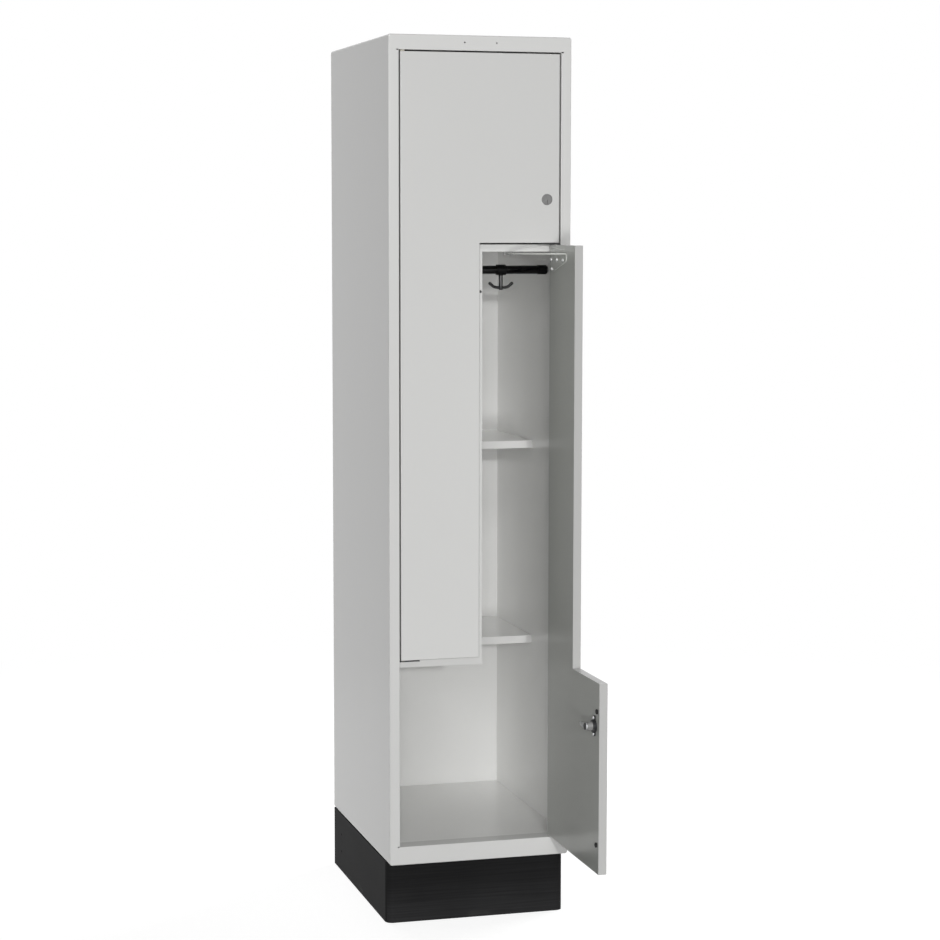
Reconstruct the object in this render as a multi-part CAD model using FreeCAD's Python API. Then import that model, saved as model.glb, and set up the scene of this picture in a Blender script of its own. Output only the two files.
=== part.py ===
# Z-locker: a steel locker for two people, with two L-shaped doors that interlock.
# Millimetres. X runs to the right, Y to the back and Z up.
# The origin is the centre of the base, on the floor. The lower door stands open, the upper one is closed.

import FreeCAD
import Part
import math
import os

from FreeCAD import Vector

# Overall sizes
locker_width = 400.0
locker_depth = 550.0
body_height = 1765.0
plinth_height = 135.0

# Carcass sheet metal
sheet = 1.0
corner_radius = 5.5
front_bend = 2.5
opening_edge_round = 1.2
stile_width = 22.5
stile_return = 34.0
stile_lip = 13.0
top_rail_height = 32.0
bottom_rail_height = 40.0
rail_return = 25.0
top_lap = 12.0
floor_flange = 20.0
relief_length = 5.0
relief_height = 2.5
number_plate_hole_radius = 1.6
number_plate_hole_spacing = 70.0
number_plate_hole_drop = 15.0

# Doors
door_thickness = 18.0
door_frame_gap = 3.0
door_level_gap = 4.0
door_middle_gap = 3.0
wide_part_height = 398.0
door_edge_round = 2.0
liner_flange = 11.0
opening_angle = 90.0

# Hinges
pivot_inset = 6.0
pivot_depth = 7.0
pin_radius = 3.0
pin_reach = 12.0
pin_head_radius = 5.0
pin_head_height = 2.0
running_clearance = 0.05
press_clearance = 0.02
bush_radius = 4.5
bush_depth = 15.0
bush_collar_radius = 5.5
thrust_clearance = 0.3
hinge_plate_width = 44.0
hinge_plate_depth = 60.0
hinge_plate_thickness = 2.0
hinge_plate_clearance = 0.8
hinge_plate_setback = 1.5
hinge_plate_side_gap = 0.5

# Divider and partitions
rail_setback = 21.5
partition_rail_height = 15.5
divider_post_width = 20.0
divider_lip = 13.0

# Shelves
shelf_depth = 280.0
shelf_lip = 17.5
shelf_lip_return = 10.0
shelf_flange = 12.0
shelf_edge_round = 1.2
low_shelf_drop = 2.3

# Door stay: a flat bar bent round the hinge axis, and the guide that it runs through
stay_radius = 101.0
stay_width = 12.0
stay_thickness = 2.0
stay_inset = 17.0
stop_radius = 3.0
stop_height = 9.0
stop_clearance = 0.4
guide_thickness = 1.5
guide_width = 22.0
guide_foot = 14.0
guide_margin = 2.4
guide_slot_clearance = 1.0

# Hinge gusset on the inner face of each door
gusset_thickness = 1.2
gusset_start = 4.0
gusset_length = 112.0
gusset_end_height = 17.0
gusset_height = 40.0
gusset_knee = 22.0
gusset_corner = 6.0
gusset_rivet_row = 14.3
gusset_rivet_places = (9.0, 49.0, 91.5)
low_rivet_row = 34.0
low_rivet_place = 14.5
rivet_radius = 2.0
rivet_head_radius = 3.6
rivet_head_height = 2.2
rivet_crown = 1.7
rivet_grip = 3.0

# Lock
lock_from_edge = 28.0
lock_from_ledge = 92.0
rosette_radius = 11.8
rosette_height = 2.0
rosette_round = 1.2
barrel_radius = 9.0
barrel_length = 36.0
plug_radius = 6.5
plug_head_radius = 9.2
plug_head_height = 1.2
key_slot_width = 2.2
key_slot_depth = 5.0
key_slot_low = 8.4
key_slot_high = 1.2
lock_base_radius = 13.0
lock_base_height = 7.0
lock_base_round = 1.0
lock_ear_radius = 4.6
lock_ear_thickness = 3.0
lock_screw_spacing = 34.0
lock_screw_radius = 1.6
lock_screw_head_radius = 3.4
lock_screw_head_height = 1.8
lock_screw_grip = 6.0
screw_head_round = 0.7
cam_length = 38.5
cam_hub_radius = 7.4
cam_tip_radius = 4.2
cam_thickness = 2.5
cam_gap = 0.3
cam_square = 7.0
cam_screw_head_radius = 7.2
cam_screw_head_height = 2.0
cam_screw_radius = 2.0
cam_screw_length = 8.0

# Rubber buffers
door_buffer_radius = 5.2
door_buffer_height = 3.2
door_buffer_from_edge = 13.0
door_buffer_from_end = 60.0
post_buffer_radius = 2.9
post_buffer_height = 3.0
post_buffer_from_middle = 5.5
post_buffer_from_door_end = 99.0
buffer_round = 1.0

# Clothes rails, collars and hooks
clothes_rail_radius = 9.25
clothes_rail_wall = 1.5
clothes_rail_from_front = 164.0
clothes_rail_drop = 56.0
socket_radius = 10.2
socket_length = 22.0
socket_base = 5.0
socket_round = 0.5
socket_dome = 4.5
collar_radius = 11.6
collar_length = 20.8
collar_round = 0.8
hook_from_middle = 93.0
collar_boss_radius = 5.2
collar_boss_drop = 12.4
hook_stem_radius = 4.2
hook_neck_radius = 2.5
hook_pin_clearance = 0.5
hook_drop = 38.5
hook_hub_radius = 5.2
hook_hub_height = 6.6
hook_head_radius = 4.2
hook_head_height = 2.0
hook_head_round = 1.4
hook_play = 0.1
hook_reach = 25.0
hook_flat = 8.0
hook_bend = 18.0
hook_turn = 42.0
hook_arm_radius = 3.0

# Plinth
plinth_sheet = 1.5
plinth_setback = 31.0
plinth_bend = 16.0
plinth_flange = 22.0
plinth_rear_flange = 24.0
plinth_hole_radius = 2.5
plinth_hole_spacing = 40.0
plinth_hole_from_back = 75.0
plinth_hole_drop = 68.0
bolt_radius = 3.0
bolt_clearance = 0.3
bolt_head_radius = 5.5
bolt_head_height = 4.0
nut_radius = 5.7
nut_height = 5.0
bolt_from_side = 14.0
bolt_from_front = 75.0
bolt_from_back = 55.0

# Places worked out from the sizes above
half_width = locker_width / 2
front = -locker_depth / 2
back = locker_depth / 2
body_bottom = plinth_height
body_top = plinth_height + body_height
inner_side = half_width - sheet
inner_back = back - sheet
opening_side = half_width - stile_width
opening_bottom = body_bottom + bottom_rail_height
opening_top = body_top - top_rail_height
stile_back = front + stile_return

door_side = opening_side - door_frame_gap
door_middle = door_middle_gap / 2
doors_bottom = opening_bottom + door_frame_gap
doors_top = opening_top - door_frame_gap
doors_centre = (doors_bottom + doors_top) / 2
upper_ledge = doors_top - wide_part_height
lower_ledge = doors_bottom + wide_part_height
upper_door_bottom = lower_ledge + door_level_gap
lower_door_top = upper_ledge - door_level_gap
door_back = front + door_thickness

pivot_x = door_side - pivot_inset
pivot_y = front + pivot_depth

hinge_plate_rise = hinge_plate_clearance + hinge_plate_thickness
upper_partition_top = upper_ledge - hinge_plate_rise
lower_partition_top = upper_door_bottom - hinge_plate_rise
rail_front = front + rail_setback
rail_back = rail_front + sheet
post_side = divider_post_width / 2
web_left = -post_side
web_right = web_left + sheet
shelf_middle_top = (upper_partition_top + lower_partition_top) / 2
shelf_low_top = lower_partition_top - low_shelf_drop
shelf_front = inner_back - shelf_depth

lock_x = door_side - lock_from_edge
lock_z = upper_ledge + lock_from_ledge
cam_front = front + barrel_length + cam_gap
cam_back = cam_front + cam_thickness

# The stay of the upper door lies above the door's lower end, and its guide stands behind the rail
stay_bottom = upper_door_bottom + stay_inset
stay_top = stay_bottom + stay_thickness
gusset_back = door_back + gusset_thickness
guide_back = rail_back + guide_thickness
stop_y = guide_back + stop_clearance + stop_radius
stop_angle = math.degrees(math.asin((stop_y - pivot_y) / stay_radius))
guide_middle_y = (rail_back + guide_back) / 2
guide_x = math.sqrt(stay_radius ** 2 - (guide_middle_y - pivot_y) ** 2) - pivot_x

clothes_rail_y = front + clothes_rail_from_front
upper_rail_z = body_top - sheet - clothes_rail_drop
lower_rail_z = upper_partition_top - sheet - clothes_rail_drop

along_x = Vector(1, 0, 0)
along_y = Vector(0, 1, 0)
along_z = Vector(0, 0, 1)
overshoot = 1.0


# General helpers

def block(left, right, near, far, low, high):
    size = (right - left, far - near, high - low)
    return Part.makeBox(*size, Vector(left, near, low))


def cylinder(centre, direction, radius, length):
    return Part.makeCylinder(radius, length, centre, direction)


def joined(*shapes):
    return shapes[0].multiFuse(list(shapes[1:])).removeSplitter()


def without(shape, *tools):
    return shape.cut(list(tools))


def mirrored(shape):
    return shape.mirror(Vector(0, 0, 0), along_x)


def edges_on_level(shape, axis, level):
    tolerance = 1e-4
    chosen = []
    for edge in shape.Edges:
        limits = edge.BoundBox
        low = getattr(limits, axis + "Min")
        high = getattr(limits, axis + "Max")
        if abs(low - level) < tolerance and abs(high - level) < tolerance:
            chosen.append(edge)
    return chosen


def straight_edges(shape, direction):
    chosen = []
    for edge in shape.Edges:
        if isinstance(edge.Curve, Part.Line) and abs(edge.Curve.Direction.dot(direction)) > 0.999:
            chosen.append(edge)
    return chosen


def edge_round_tool(corner, inward_first, inward_second, run, radius):
    # What a square edge loses when it is rounded: a square bar less the quarter round that stays.
    points = [corner, corner + inward_first * radius, corner + (inward_first + inward_second) * radius,
              corner + inward_second * radius, corner]
    bar = Part.Face(Part.makePolygon(points)).extrude(run)
    centre = corner + (inward_first + inward_second) * radius
    return bar.cut(cylinder(centre, run, radius, run.Length))


# Carcass

def envelope(inset, rear):
    # The body's outside, or its inside when inset by the sheet, with its bends.
    side = half_width - inset
    shape = block(-side, side, front + inset, rear, body_bottom + inset, body_top - inset)
    shape = shape.makeFillet(corner_radius - inset, straight_edges(shape, along_y))
    return shape.makeFillet(front_bend - inset, edges_on_level(shape, "Y", front + inset))


def shell():
    return envelope(0, back).cut(envelope(sheet, back + overshoot))


def side_panel_left():
    strip = block(-half_width, -opening_side, front, back, body_bottom, body_top)
    skin = shell().common(strip)
    low = body_bottom + sheet
    high = body_top - sheet
    return_sheet = block(-opening_side - sheet, -opening_side, front + sheet, stile_back, low, high)
    lip = block(-opening_side - stile_lip, -opening_side - sheet, stile_back - sheet, stile_back, low, high)
    panel = joined(skin, return_sheet, lip)
    corner = Vector(-opening_side, front, opening_bottom)
    run = Vector(0, 0, opening_top - opening_bottom)
    panel = panel.cut(edge_round_tool(corner, -along_x, along_y, run, opening_edge_round))
    reliefs = []
    for level in (opening_bottom, opening_top):
        reliefs.append(block(-opening_side - relief_length, -opening_side, front, front + 2 * sheet,
                             level - relief_height / 2, level + relief_height / 2))
    drill = cylinder(Vector(0, 0, body_bottom), along_z, bolt_radius + bolt_clearance, sheet)
    for place in plinth_bolt_places():
        if place.x < 0:
            reliefs.append(drill.translated(place))
    return without(panel, *reliefs)


def top_panel():
    strip = block(-opening_side, opening_side, front, back, opening_top, body_top)
    skin = shell().common(strip)
    return_sheet = block(-opening_side, opening_side, front + sheet, front + rail_return,
                         opening_top, opening_top + sheet)
    pieces = [skin, return_sheet]
    for side in (-1, 1):
        near = side * (opening_side - sheet)
        far = side * (opening_side + top_lap)
        pieces.append(block(min(near, far), max(near, far), stile_back, inner_back,
                            body_top - 2 * sheet, body_top - sheet))
    panel = joined(*pieces)
    corner = Vector(-opening_side, front, opening_top)
    run = Vector(2 * opening_side, 0, 0)
    tools = [edge_round_tool(corner, along_y, along_z, run, opening_edge_round)]
    for side in (-1, 1):
        place = Vector(side * number_plate_hole_spacing / 2, front, body_top - number_plate_hole_drop)
        tools.append(cylinder(place, along_y, number_plate_hole_radius, sheet))
    pin_hole = Vector(-pivot_x, pivot_y, opening_top)
    tools.append(cylinder(pin_hole, along_z, pin_radius + press_clearance, sheet))
    return without(panel, *tools)


def floor_panel():
    strip = block(-opening_side, opening_side, front, front + rail_return, body_bottom, opening_bottom)
    rail = shell().common(strip)
    front_sheet = block(-opening_side, opening_side, front + sheet, stile_back,
                        opening_bottom - sheet, opening_bottom)
    floor_sheet = block(-inner_side, inner_side, stile_back, inner_back,
                        opening_bottom - sheet, opening_bottom)
    pieces = [rail, front_sheet, floor_sheet]
    for side in (-1, 1):
        near = side * inner_side
        far = side * (inner_side - sheet)
        pieces.append(block(min(near, far), max(near, far), stile_back, inner_back,
                            opening_bottom - floor_flange, opening_bottom - sheet))
    panel = joined(*pieces)
    corner = Vector(-opening_side, front, opening_bottom)
    run = Vector(2 * opening_side, 0, 0)
    round_tool = edge_round_tool(corner, along_y, -along_z, run, opening_edge_round)
    pin_place = Vector(pivot_x, pivot_y, opening_bottom - sheet)
    pin_hole = cylinder(pin_place, along_z, pin_radius + press_clearance, sheet)
    return without(panel, round_tool, pin_hole)


def back_panel():
    slice_of_inside = block(-half_width, half_width, inner_back, back, body_bottom, body_top)
    return envelope(sheet, back + overshoot).common(slice_of_inside)


# Divider, partitions and shelves

def centre_divider():
    low = lower_partition_top - partition_rail_height
    rail_low = upper_partition_top - partition_rail_height
    web = block(web_left, web_right, rail_back, inner_back, low, upper_partition_top - sheet)
    post = block(web_left, post_side, rail_front, rail_back, low, rail_low)
    lip = block(post_side - sheet, post_side, rail_back, rail_front + divider_lip, low, rail_low)
    return joined(web, post, lip)


def partition(top, inner_end, side):
    # A level sheet from the divider to the side wall, with its front edge folded down as a rail.
    low = top - sheet
    rail_end = side * opening_side
    wall_end = side * inner_side
    front_sheet = block(min(inner_end, rail_end), max(inner_end, rail_end), rail_back, stile_back, low, top)
    main_sheet = block(min(inner_end, wall_end), max(inner_end, wall_end), stile_back, inner_back, low, top)
    rail = block(min(inner_end, rail_end), max(inner_end, rail_end), rail_front, rail_back,
                 top - partition_rail_height, top)
    sheet_metal = joined(front_sheet, main_sheet, rail)
    corner = Vector(min(inner_end, rail_end), rail_front, top)
    run = Vector(abs(rail_end - inner_end), 0, 0)
    return sheet_metal.cut(edge_round_tool(corner, along_y, -along_z, run, opening_edge_round))


def shelf(left, right, top):
    plate = block(left, right, shelf_front, inner_back, top - sheet, top)
    lip = block(left, right, shelf_front, shelf_front + sheet, top - shelf_lip, top - sheet)
    hem = block(left, right, shelf_front + sheet, shelf_front + shelf_lip_return,
                top - shelf_lip, top - shelf_lip + sheet)
    flange_front = shelf_front + shelf_lip_return
    flange_low = top - shelf_flange
    left_flange = block(left, left + sheet, flange_front, inner_back, flange_low, top - sheet)
    right_flange = block(right - sheet, right, flange_front, inner_back, flange_low, top - sheet)
    whole = joined(plate, lip, hem, left_flange, right_flange)
    run = Vector(right - left, 0, 0)
    top_edge = edge_round_tool(Vector(left, shelf_front, top), along_y, -along_z, run, shelf_edge_round)
    low_corner = Vector(left, shelf_front, top - shelf_lip)
    low_edge = edge_round_tool(low_corner, along_y, along_z, run, shelf_edge_round)
    return without(whole, top_edge, low_edge)


# Hinges and stay guides on the carcass

def hinge_plate(pin_x, top_of_partition):
    side = math.copysign(1, pin_x)
    outer = side * (opening_side - hinge_plate_side_gap)
    inner = side * (opening_side - hinge_plate_side_gap - hinge_plate_width)
    near = front + hinge_plate_setback
    plate = block(min(outer, inner), max(outer, inner), near, near + hinge_plate_depth,
                  top_of_partition, top_of_partition + hinge_plate_thickness)
    hole = cylinder(Vector(pin_x, pivot_y, top_of_partition), along_z, pin_radius + press_clearance,
                    hinge_plate_thickness)
    return plate.cut(hole)


def hinge_pins():
    spans = [
        (-pivot_x, doors_top - pin_reach, opening_top + sheet),
        (-pivot_x, lower_partition_top, upper_door_bottom + pin_reach),
        (pivot_x, lower_door_top - pin_reach, upper_partition_top + hinge_plate_thickness),
        (pivot_x, opening_bottom - sheet, doors_bottom + pin_reach),
    ]
    pins = []
    for place, low, high in spans:
        pins.append(cylinder(Vector(place, pivot_y, low), along_z, pin_radius, high - low))
    top_head = Vector(-pivot_x, pivot_y, opening_top + sheet)
    floor_head = Vector(pivot_x, pivot_y, opening_bottom - sheet - pin_head_height)
    pins[0] = joined(pins[0], cylinder(top_head, along_z, pin_head_radius, pin_head_height))
    pins[3] = joined(pins[3], cylinder(floor_head, along_z, pin_head_radius, pin_head_height))
    return Part.makeCompound(pins)


def stay_guide(foot_level, slot_low, slot_high):
    # A small angle behind the rail: its foot lies on the partition and its tab has the slot.
    far_end = slot_high + guide_margin
    if foot_level > slot_high:
        far_end = slot_low - guide_margin
    left = guide_x - guide_width / 2
    right = guide_x + guide_width / 2
    foot_far = foot_level + math.copysign(guide_thickness, far_end - foot_level)
    tab = block(left, right, rail_back, guide_back, min(foot_level, far_end), max(foot_level, far_end))
    foot = block(left, right, guide_back, rail_back + guide_foot,
                 min(foot_level, foot_far), max(foot_level, foot_far))
    slot_half = stay_width / 2 + 2 * guide_slot_clearance
    slot = block(guide_x - slot_half, guide_x + slot_half, rail_back, guide_back,
                 slot_low - guide_slot_clearance, slot_high + guide_slot_clearance)
    return joined(tab, foot).cut(slot)


def post_buffer():
    place = Vector(-post_buffer_from_middle, rail_front, upper_door_bottom + post_buffer_from_door_end)
    buffer = cylinder(place, -along_y, post_buffer_radius, post_buffer_height)
    return buffer.makeFillet(buffer_round, edges_on_level(buffer, "Y", rail_front - post_buffer_height))


# One door, drawn closed in the upper opening

def door_prism(inset, near, far):
    low = upper_door_bottom + inset
    ledge = upper_ledge + inset
    high = doors_top - inset
    left = -door_side + inset
    right = door_side - inset
    middle = -door_middle - inset
    corners = [(left, low), (middle, low), (middle, ledge), (right, ledge), (right, high), (left, high)]
    points = [Vector(x, front + near, z) for x, z in corners]
    outline = Part.Face(Part.makePolygon(points + points[:1]))
    return outline.extrude(Vector(0, far - near, 0))


def bush_tools():
    low = Vector(-pivot_x, pivot_y, upper_door_bottom)
    high = Vector(-pivot_x, pivot_y, doors_top - bush_depth)
    radius = bush_radius + press_clearance
    return [cylinder(low, along_z, radius, bush_depth), cylinder(high, along_z, radius, bush_depth)]


def barrel_hole():
    return cylinder(Vector(lock_x, front, lock_z), along_y, barrel_radius + press_clearance, door_thickness)


def door_skin():
    outside = door_prism(0, 0, door_thickness)
    outside = outside.makeFillet(door_edge_round, edges_on_level(outside, "Y", front))
    inside = door_prism(sheet, sheet, door_thickness)
    inside = inside.makeFillet(door_edge_round - sheet, edges_on_level(inside, "Y", front + sheet))
    return without(outside, inside, barrel_hole(), *bush_tools())


def door_liner():
    tray = door_prism(sheet, door_thickness - sheet - liner_flange, door_thickness)
    hollow = door_prism(2 * sheet, door_thickness - sheet - liner_flange, door_thickness - sheet)
    holes = gusset_rivet_tools() + lock_screw_tools() + bush_tools()
    return without(tray, hollow, barrel_hole(), *holes)


def door_bushes():
    bushes = []
    gaps = ((upper_door_bottom, 1, hinge_plate_clearance), (doors_top, -1, door_frame_gap))
    for level, inward, gap in gaps:
        body = cylinder(Vector(-pivot_x, pivot_y, level), along_z * inward, bush_radius, bush_depth)
        collar_height = gap - thrust_clearance
        collar = cylinder(Vector(-pivot_x, pivot_y, level), along_z * -inward, bush_collar_radius,
                          collar_height)
        mouth = Vector(-pivot_x, pivot_y, level - inward * collar_height)
        bore_depth = collar_height + pin_reach + running_clearance
        bore = cylinder(mouth, along_z * inward, pin_radius + running_clearance, bore_depth)
        bushes.append(joined(body, collar).cut(bore))
    return bushes


def gusset_rivet_centres():
    left = -door_side + gusset_start
    row = stay_bottom + gusset_rivet_row
    centres = [Vector(left + place, gusset_back, row) for place in gusset_rivet_places]
    centres.append(Vector(left + low_rivet_place, gusset_back, stay_bottom + low_rivet_row))
    return centres


def gusset_rivet_tools():
    radius = rivet_radius + press_clearance
    return [cylinder(centre, -along_y, radius, rivet_grip) for centre in gusset_rivet_centres()]


def hinge_gusset():
    left = -door_side + gusset_start
    right = left + gusset_length
    high = stay_bottom + gusset_height
    corners = [(left, stay_bottom), (right, stay_bottom), (right, stay_bottom + gusset_end_height),
               (left + gusset_knee, high), (left, high)]
    points = [Vector(x, door_back, z) for x, z in corners]
    plate = Part.Face(Part.makePolygon(points + points[:1])).extrude(Vector(0, gusset_thickness, 0))
    rounded = []
    for edge in straight_edges(plate, along_y):
        if edge.BoundBox.XMin > left + gusset_corner:
            rounded.append(edge)
    plate = plate.makeFillet(gusset_corner, rounded)
    return without(plate, *gusset_rivet_tools())


def gusset_rivets():
    rivets = []
    for centre in gusset_rivet_centres():
        shank = cylinder(centre, -along_y, rivet_radius, rivet_grip)
        head = cylinder(centre, along_y, rivet_head_radius, rivet_head_height)
        crown = edges_on_level(head, "Y", gusset_back + rivet_head_height)
        head = head.makeFillet(rivet_crown, crown)
        rivets.append(joined(shank, head))
    return rivets


def door_stay():
    # The bar runs from the gusset round the hinge axis and ends in a stud that stops in the guide.
    centre = Vector(-pivot_x, pivot_y, stay_bottom)
    end_angle = opening_angle + stop_angle
    outer = Part.makeCylinder(stay_radius + stay_width / 2, stay_thickness, centre, along_z, end_angle)
    inner = Part.makeCylinder(stay_radius - stay_width / 2, stay_thickness, centre, along_z)
    bar = outer.cut(inner)
    in_door = block(-locker_width, locker_width, front, gusset_back, stay_bottom, stay_top)
    turn = math.radians(end_angle)
    stud_place = centre + Vector(math.cos(turn), math.sin(turn), 0) * stay_radius
    rounded_end = cylinder(stud_place, along_z, stay_width / 2, stay_thickness)
    stud_low = stud_place + along_z * (stay_thickness - stop_height) / 2
    stud = cylinder(stud_low, along_z, stop_radius, stop_height)
    return joined(bar.cut(in_door), rounded_end, stud)


def door_buffers():
    buffers = []
    place_x = door_side - door_buffer_from_edge
    for place_z in (upper_ledge + door_buffer_from_end, doors_top - door_buffer_from_end):
        foot = Vector(place_x, door_back, place_z)
        buffer = cylinder(foot, along_y, door_buffer_radius, door_buffer_height)
        rim = edges_on_level(buffer, "Y", door_back + door_buffer_height)
        buffers.append(buffer.makeFillet(buffer_round, rim))
    return buffers


# Lock, with its cam turned away from the stile

def lock_barrel():
    face = front - rosette_height
    rosette = cylinder(Vector(lock_x, face, lock_z), along_y, rosette_radius, rosette_height)
    rosette = rosette.makeFillet(rosette_round, edges_on_level(rosette, "Y", face))
    tube = cylinder(Vector(lock_x, front, lock_z), along_y, barrel_radius, barrel_length)
    bore = cylinder(Vector(lock_x, face, lock_z), along_y, plug_radius + running_clearance,
                    rosette_height + barrel_length)
    seat = cylinder(Vector(lock_x, face, lock_z), along_y, plug_head_radius + running_clearance,
                    plug_head_height + running_clearance)
    return without(joined(rosette, tube), bore, seat)


def lock_plug():
    face = front - rosette_height
    head = cylinder(Vector(lock_x, face, lock_z), along_y, plug_head_radius, plug_head_height)
    core = cylinder(Vector(lock_x, face, lock_z), along_y, plug_radius, cam_front - face)
    half = cam_square / 2
    tail = block(lock_x - half, lock_x + half, cam_front, cam_back, lock_z - half, lock_z + half)
    slot = block(lock_x - key_slot_width / 2, lock_x + key_slot_width / 2, face, face + key_slot_depth,
                 lock_z - key_slot_low, lock_z - key_slot_high)
    screw_hole = cylinder(Vector(lock_x, cam_back, lock_z), -along_y, cam_screw_radius + press_clearance,
                          cam_screw_length)
    return without(joined(head, core, tail), slot, screw_hole)


def lock_cam():
    hub = Vector(lock_x, cam_front, lock_z)
    tip_x = lock_x - cam_length + cam_tip_radius
    tip = Vector(tip_x, cam_front, lock_z)
    corners = [(lock_x, cam_hub_radius), (tip_x, cam_tip_radius), (tip_x, -cam_tip_radius),
               (lock_x, -cam_hub_radius)]
    points = [Vector(x, cam_front, lock_z + rise) for x, rise in corners]
    arm = Part.Face(Part.makePolygon(points + points[:1])).extrude(Vector(0, cam_thickness, 0))
    lever = joined(cylinder(hub, along_y, cam_hub_radius, cam_thickness),
                   cylinder(tip, along_y, cam_tip_radius, cam_thickness), arm)
    half = cam_square / 2 + press_clearance
    square = block(lock_x - half, lock_x + half, cam_front, cam_back, lock_z - half, lock_z + half)
    return lever.cut(square)


def cam_screw():
    seat = Vector(lock_x, cam_back, lock_z)
    head = cylinder(seat, along_y, cam_screw_head_radius, cam_screw_head_height)
    head = head.makeFillet(screw_head_round, edges_on_level(head, "Y", cam_back + cam_screw_head_height))
    return joined(head, cylinder(seat, -along_y, cam_screw_radius, cam_screw_length))


def lock_screw_seats():
    seat_y = door_back + lock_ear_thickness
    half = lock_screw_spacing / 2
    return [Vector(lock_x, seat_y, lock_z - half), Vector(lock_x, seat_y, lock_z + half)]


def lock_screw_tools():
    radius = lock_screw_radius + press_clearance
    return [cylinder(seat, -along_y, radius, lock_screw_grip) for seat in lock_screw_seats()]


def lock_base():
    # A round body with an ear for a screw above it and one below it.
    centre = Vector(lock_x, door_back, lock_z)
    body = cylinder(centre, along_y, lock_base_radius, lock_base_height)
    body = body.makeFillet(lock_base_round, edges_on_level(body, "Y", door_back + lock_base_height))
    half = lock_screw_spacing / 2
    ears = [block(lock_x - lock_ear_radius, lock_x + lock_ear_radius, door_back,
                  door_back + lock_ear_thickness, lock_z - half, lock_z + half)]
    for side in (-1, 1):
        place = centre + along_z * (side * half)
        ears.append(cylinder(place, along_y, lock_ear_radius, lock_ear_thickness))
    hole = cylinder(centre, along_y, barrel_radius + press_clearance, lock_base_height)
    return without(joined(body, *ears), hole, *lock_screw_tools())


def lock_screws():
    screws = []
    for seat in lock_screw_seats():
        shank = cylinder(seat, -along_y, lock_screw_radius, lock_screw_grip)
        head = cylinder(seat, along_y, lock_screw_head_radius, lock_screw_head_height)
        head = head.makeFillet(screw_head_round, edges_on_level(head, "Y", seat.y + lock_screw_head_height))
        screws.append(joined(shank, head))
    return screws


# Clothes rails, collars and hooks

def clothes_rail(left, right, level):
    start = Vector(left + socket_base, clothes_rail_y, level)
    length = right - left - 2 * socket_base
    tube = cylinder(start, along_x, clothes_rail_radius, length)
    return tube.cut(cylinder(start, along_x, clothes_rail_radius - clothes_rail_wall, length))


def rail_sockets(left, right, level):
    # A cup at each end of the rail, domed where it meets the wall.
    sockets = []
    for wall, inward in ((left, 1), (right, -1)):
        seat = Vector(wall, clothes_rail_y, level)
        cup = cylinder(seat, along_x * inward, socket_radius, socket_length)
        cup = cup.makeFillet(socket_dome, edges_on_level(cup, "X", wall))
        cup = cup.makeFillet(socket_round, edges_on_level(cup, "X", wall + inward * socket_length))
        hollow_start = seat + along_x * inward * socket_base
        radius = clothes_rail_radius + press_clearance
        sockets.append(cup.cut(cylinder(hollow_start, along_x * inward, radius, socket_length)))
    return Part.makeCompound(sockets)


def collar_pin_top(level):
    return level - clothes_rail_radius - hook_pin_clearance


def hook_collar(middle, level):
    start = Vector(middle - collar_length / 2, clothes_rail_y, level)
    ring = cylinder(start, along_x, collar_radius, collar_length)
    ends = edges_on_level(ring, "X", start.x) + edges_on_level(ring, "X", start.x + collar_length)
    ring = ring.makeFillet(collar_round, ends)
    centre = Vector(middle, clothes_rail_y, level)
    boss = cylinder(centre, -along_z, collar_boss_radius, collar_boss_drop)
    bore = cylinder(start, along_x, clothes_rail_radius + running_clearance, collar_length)
    pin_hole = cylinder(centre, -along_z, hook_neck_radius + press_clearance, collar_boss_drop)
    return without(joined(ring, boss), bore, pin_hole)


def hook_pin(middle, level):
    # Pressed into the collar's boss; the hook turns on its neck, above its head.
    hub_top = level - hook_drop + hook_hub_height / 2
    neck_end = hub_top - hook_hub_height - 2 * hook_play
    boss_end = level - collar_boss_drop
    stem = cylinder(Vector(middle, clothes_rail_y, boss_end), -along_z, hook_stem_radius, boss_end - hub_top)
    top = collar_pin_top(level)
    neck = cylinder(Vector(middle, clothes_rail_y, top), -along_z, hook_neck_radius, top - neck_end)
    head = cylinder(Vector(middle, clothes_rail_y, neck_end), -along_z, hook_head_radius, hook_head_height)
    head = head.makeFillet(hook_head_round, edges_on_level(head, "Z", neck_end - hook_head_height))
    return joined(stem, neck, head)


def hook_arm(middle, hub_level, side):
    # Level at the hub, then bent up, then straight to its round tip.
    along = along_x * side
    hub = Vector(middle, clothes_rail_y, hub_level)
    flat = cylinder(hub, along, hook_arm_radius, hook_flat)
    bend_start = hub + along * hook_flat
    ring = Part.Wire(Part.makeCircle(hook_arm_radius, bend_start, along_x))
    bend = Part.Face(ring).revolve(bend_start + along_z * hook_bend, along_y, -side * hook_turn)
    turn = math.radians(hook_turn)
    sideways = hook_bend * math.sin(turn)
    upwards = hook_bend * (1 - math.cos(turn))
    bend_end = bend_start + along * sideways + along_z * upwards
    rest = (hook_reach - hook_flat) / math.cos(turn) - hook_bend * math.tan(turn)
    rising = along * math.cos(turn) + along_z * math.sin(turn)
    straight = cylinder(bend_end, rising, hook_arm_radius, rest)
    tip = Part.makeSphere(hook_arm_radius, bend_end + rising * rest)
    return [flat, bend, straight, tip]


def double_hook(middle, level):
    hub_level = level - hook_drop - hook_play
    hub_low = Vector(middle, clothes_rail_y, hub_level - hook_hub_height / 2)
    hub = cylinder(hub_low, along_z, hook_hub_radius, hook_hub_height)
    bore = cylinder(hub_low, along_z, hook_neck_radius + running_clearance, hook_hub_height)
    arms = hook_arm(middle, hub_level, -1) + hook_arm(middle, hub_level, 1)
    return joined(hub, *arms).cut(bore)


# Plinth

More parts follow.
